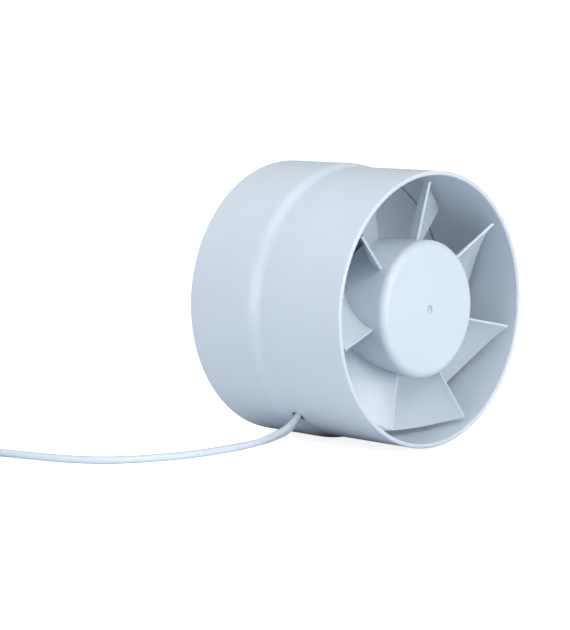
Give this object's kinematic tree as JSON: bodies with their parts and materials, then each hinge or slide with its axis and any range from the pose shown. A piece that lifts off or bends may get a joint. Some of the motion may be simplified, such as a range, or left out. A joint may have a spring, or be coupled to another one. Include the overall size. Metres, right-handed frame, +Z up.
{
  "type": "inline duct fan",
  "caption": "Short round plastic fan for inside a ventilation duct: stepped tubular casing, impeller with a flat round hub and swept blades, shaded-pole motor behind it, flat mains lead.",
  "frame": {"origin": "on the surface that the fan lies on, below the middle of its casing", "axes": "+Y along the duct axis from the outlet, where the impeller is, to the inlet; +Z up; +X to the right as seen from the outlet"},
  "size_m": [0.2796, 0.1776, 0.125],
  "materials": {
    "casing_plastic": "smooth moulded ABS, semi-gloss",
    "impeller_plastic": "smooth moulded ABS, semi-gloss",
    "can_paint": "black satin enamel on drawn steel",
    "spring_steel": "blued spring steel",
    "plated_steel": "zinc plated",
    "ground_steel": "ground and polished",
    "lamination_steel": "stacked laminations",
    "cage_aluminium": "die cast",
    "bearing_bronze": "oil-filled sintered bronze",
    "felt": "oiled wool felt",
    "nylon": "natural nylon",
    "fibre": "hard fibre",
    "copper_wire": "enamelled winding",
    "copper": "bare copper",
    "fuse_body": "moulded",
    "splice_nylon": "nylon crimp caps",
    "core_insulation": "PVC insulation",
    "grommet_rubber": "soft rubber",
    "clamp_plastic": "moulded",
    "lead_jacket": "pale grey PVC jacket, satin",
    "brown_insulation": "PVC insulation",
    "blue_insulation": "PVC insulation",
    "tin": "tinned strands"
  },
  "bodies": {
    "casing": {"bearing_retainers": "plated_steel", "cable_clamp": "clamp_plastic", "can_grommet": "grommet_rubber", "clamp_screws": "plated_steel", "coil_bobbins": "nylon", "coil_leads": "core_insulation", "front_bearing": "bearing_bronze", "inlet_casing": "casing_plastic", "inner_lead": "lead_jacket", "lead_coil": "lead_jacket", "lead_cores": "core_insulation", "lead_tail": "lead_jacket", "mains_lead": "lead_jacket", "motor_can": "can_paint", "motor_cover": "can_paint", "oil_felts": "felt", "outlet_casing": "casing_plastic", "rear_bearing": "bearing_bronze", "shading_rings": "copper", "splice_caps": "splice_nylon", "stator_coils": "copper_wire", "stator_core": "lamination_steel", "tail_core_blue": "blue_insulation", "tail_core_brown": "brown_insulation", "thermal_fuse": "fuse_body", "tie_bolts": "plated_steel", "tie_nuts": "plated_steel", "tinned_ends": "tin"},
    "rotor": {"impeller": "impeller_plastic", "hub_clip": "spring_steel", "shaft": "ground_steel", "rotor_core": "lamination_steel", "squirrel_cage": "cage_aluminium", "rotor_spacers": "nylon", "thrust_washers": "fibre"}
  },
  "joints": [
    {"name": "impeller_spin", "type": "hinge", "parent": "casing", "child": "rotor", "pos_m": [0, 0, 0.0625], "axis": [0, 1, 0], "continuous": true}
  ]
}
